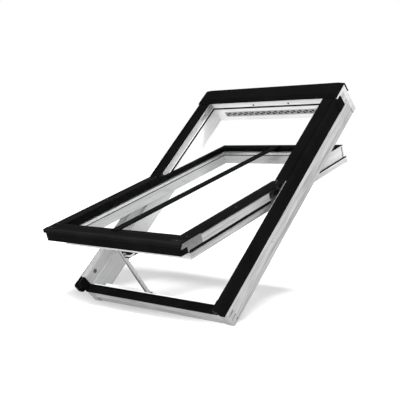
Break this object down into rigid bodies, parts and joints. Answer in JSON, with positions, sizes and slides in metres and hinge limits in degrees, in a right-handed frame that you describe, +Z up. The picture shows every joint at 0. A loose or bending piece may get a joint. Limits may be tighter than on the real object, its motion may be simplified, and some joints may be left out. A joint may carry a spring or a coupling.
{
  "type": "centre-pivot roof window",
  "caption": "Centre-pivot roof window standing open: painted timber frame and sash, black cladding, glazing bar, air-inlet grille in the head and a push chain from the sill.",
  "frame": {"origin": "middle of the outer face of the sill timber, level with the lower edge of the side cladding", "axes": "+X to the right seen from outside, +Y horizontal towards the ridge of the roof, +Z up; the frame lies on a 45 degree slope"},
  "size_m": [0.783, 1.1076, 0.9277],
  "materials": {
    "black_cladding": "matt black powder coat",
    "black_plastic": "fine-grained moulded plastic",
    "black_rubber": "matt extruded rubber",
    "dark_steel": "black zinc-plated steel",
    "glass": "clear float glass",
    "grey_plastic": "fine-grained moulded plastic",
    "grey_rubber": "ribbed grey weather strip",
    "painted_timber": "white paint over fine softwood grain",
    "spacer": "satin aluminium",
    "steel": "zinc-plated steel",
    "white_plastic": "smooth moulded plastic"
  },
  "bodies": {
    "frame": {"bolt_bush_left": "grey_plastic", "bolt_bush_right": "grey_plastic", "chain_drive": "white_plastic", "chain_outlet": "black_plastic", "drive_chain": "steel", "frame_cover_left": "black_cladding", "frame_cover_right": "black_cladding", "frame_head": "painted_timber", "frame_jamb_left": "painted_timber", "frame_jamb_right": "painted_timber", "frame_profile_left": "black_cladding", "frame_profile_right": "black_cladding", "frame_screws": "steel", "frame_seal_head": "black_rubber", "frame_seal_left": "black_rubber", "frame_seal_right": "black_rubber", "frame_sill": "painted_timber", "frame_strip_left": "grey_rubber", "frame_strip_right": "grey_rubber", "head_buffers": "white_plastic", "head_cover": "black_cladding", "hinge_track_left": "steel", "hinge_track_right": "steel", "profile_end_cap_left": "black_plastic", "profile_end_cap_right": "black_plastic", "sill_cladding": "black_cladding", "striker_plate": "steel", "vent_grille": "white_plastic", "weather_strip_left": "grey_rubber", "weather_strip_right": "grey_rubber"},
    "sash": {"chain_bracket": "black_plastic", "corner_block_left": "grey_plastic", "corner_block_right": "grey_plastic", "corner_seal_left": "black_rubber", "corner_seal_right": "black_rubber", "glass_inner": "glass", "glass_outer": "glass", "glass_spacer": "spacer", "glazing_bar": "black_cladding", "glazing_gasket": "black_rubber", "glazing_tape": "black_rubber", "hinge_tongue_left": "dark_steel", "hinge_tongue_right": "dark_steel", "sash_bottom_rail": "painted_timber", "sash_cover_bottom": "black_cladding", "sash_cover_lower_left": "black_cladding", "sash_cover_lower_right": "black_cladding", "sash_cover_top": "black_cladding", "sash_cover_upper_left": "black_cladding", "sash_cover_upper_right": "black_cladding", "sash_seal_bottom": "black_rubber", "sash_seal_left": "black_rubber", "sash_seal_right": "black_rubber", "sash_stile_left": "painted_timber", "sash_stile_right": "painted_timber", "sash_strip_left": "grey_rubber", "sash_strip_right": "grey_rubber", "sash_top_rail": "painted_timber"},
    "vent_flap": {"vent_flap": "white_plastic"},
    "release_handle": {"release_handle": "steel"}
  },
  "joints": [
    {"name": "sash_pivot", "type": "hinge", "parent": "frame", "child": "sash", "pos_m": [0, 0.3631, 0.47624], "axis": [1, 0, 0], "range_deg": [0, 27], "deforming": ["drive_chain"]},
    {"name": "vent_flap_hinge", "type": "hinge", "parent": "frame", "child": "vent_flap", "pos_m": [0, 0.8213, 0.75554], "axis": [1, 0, 0], "range_deg": [0, 85]},
    {"name": "release_handle_hinge", "type": "hinge", "parent": "sash", "child": "release_handle", "pos_m": [-0.024, -0.10759, 0.18871], "axis": [0, 0.9511, 0.309], "range_deg": [0, 30]}
  ]
}
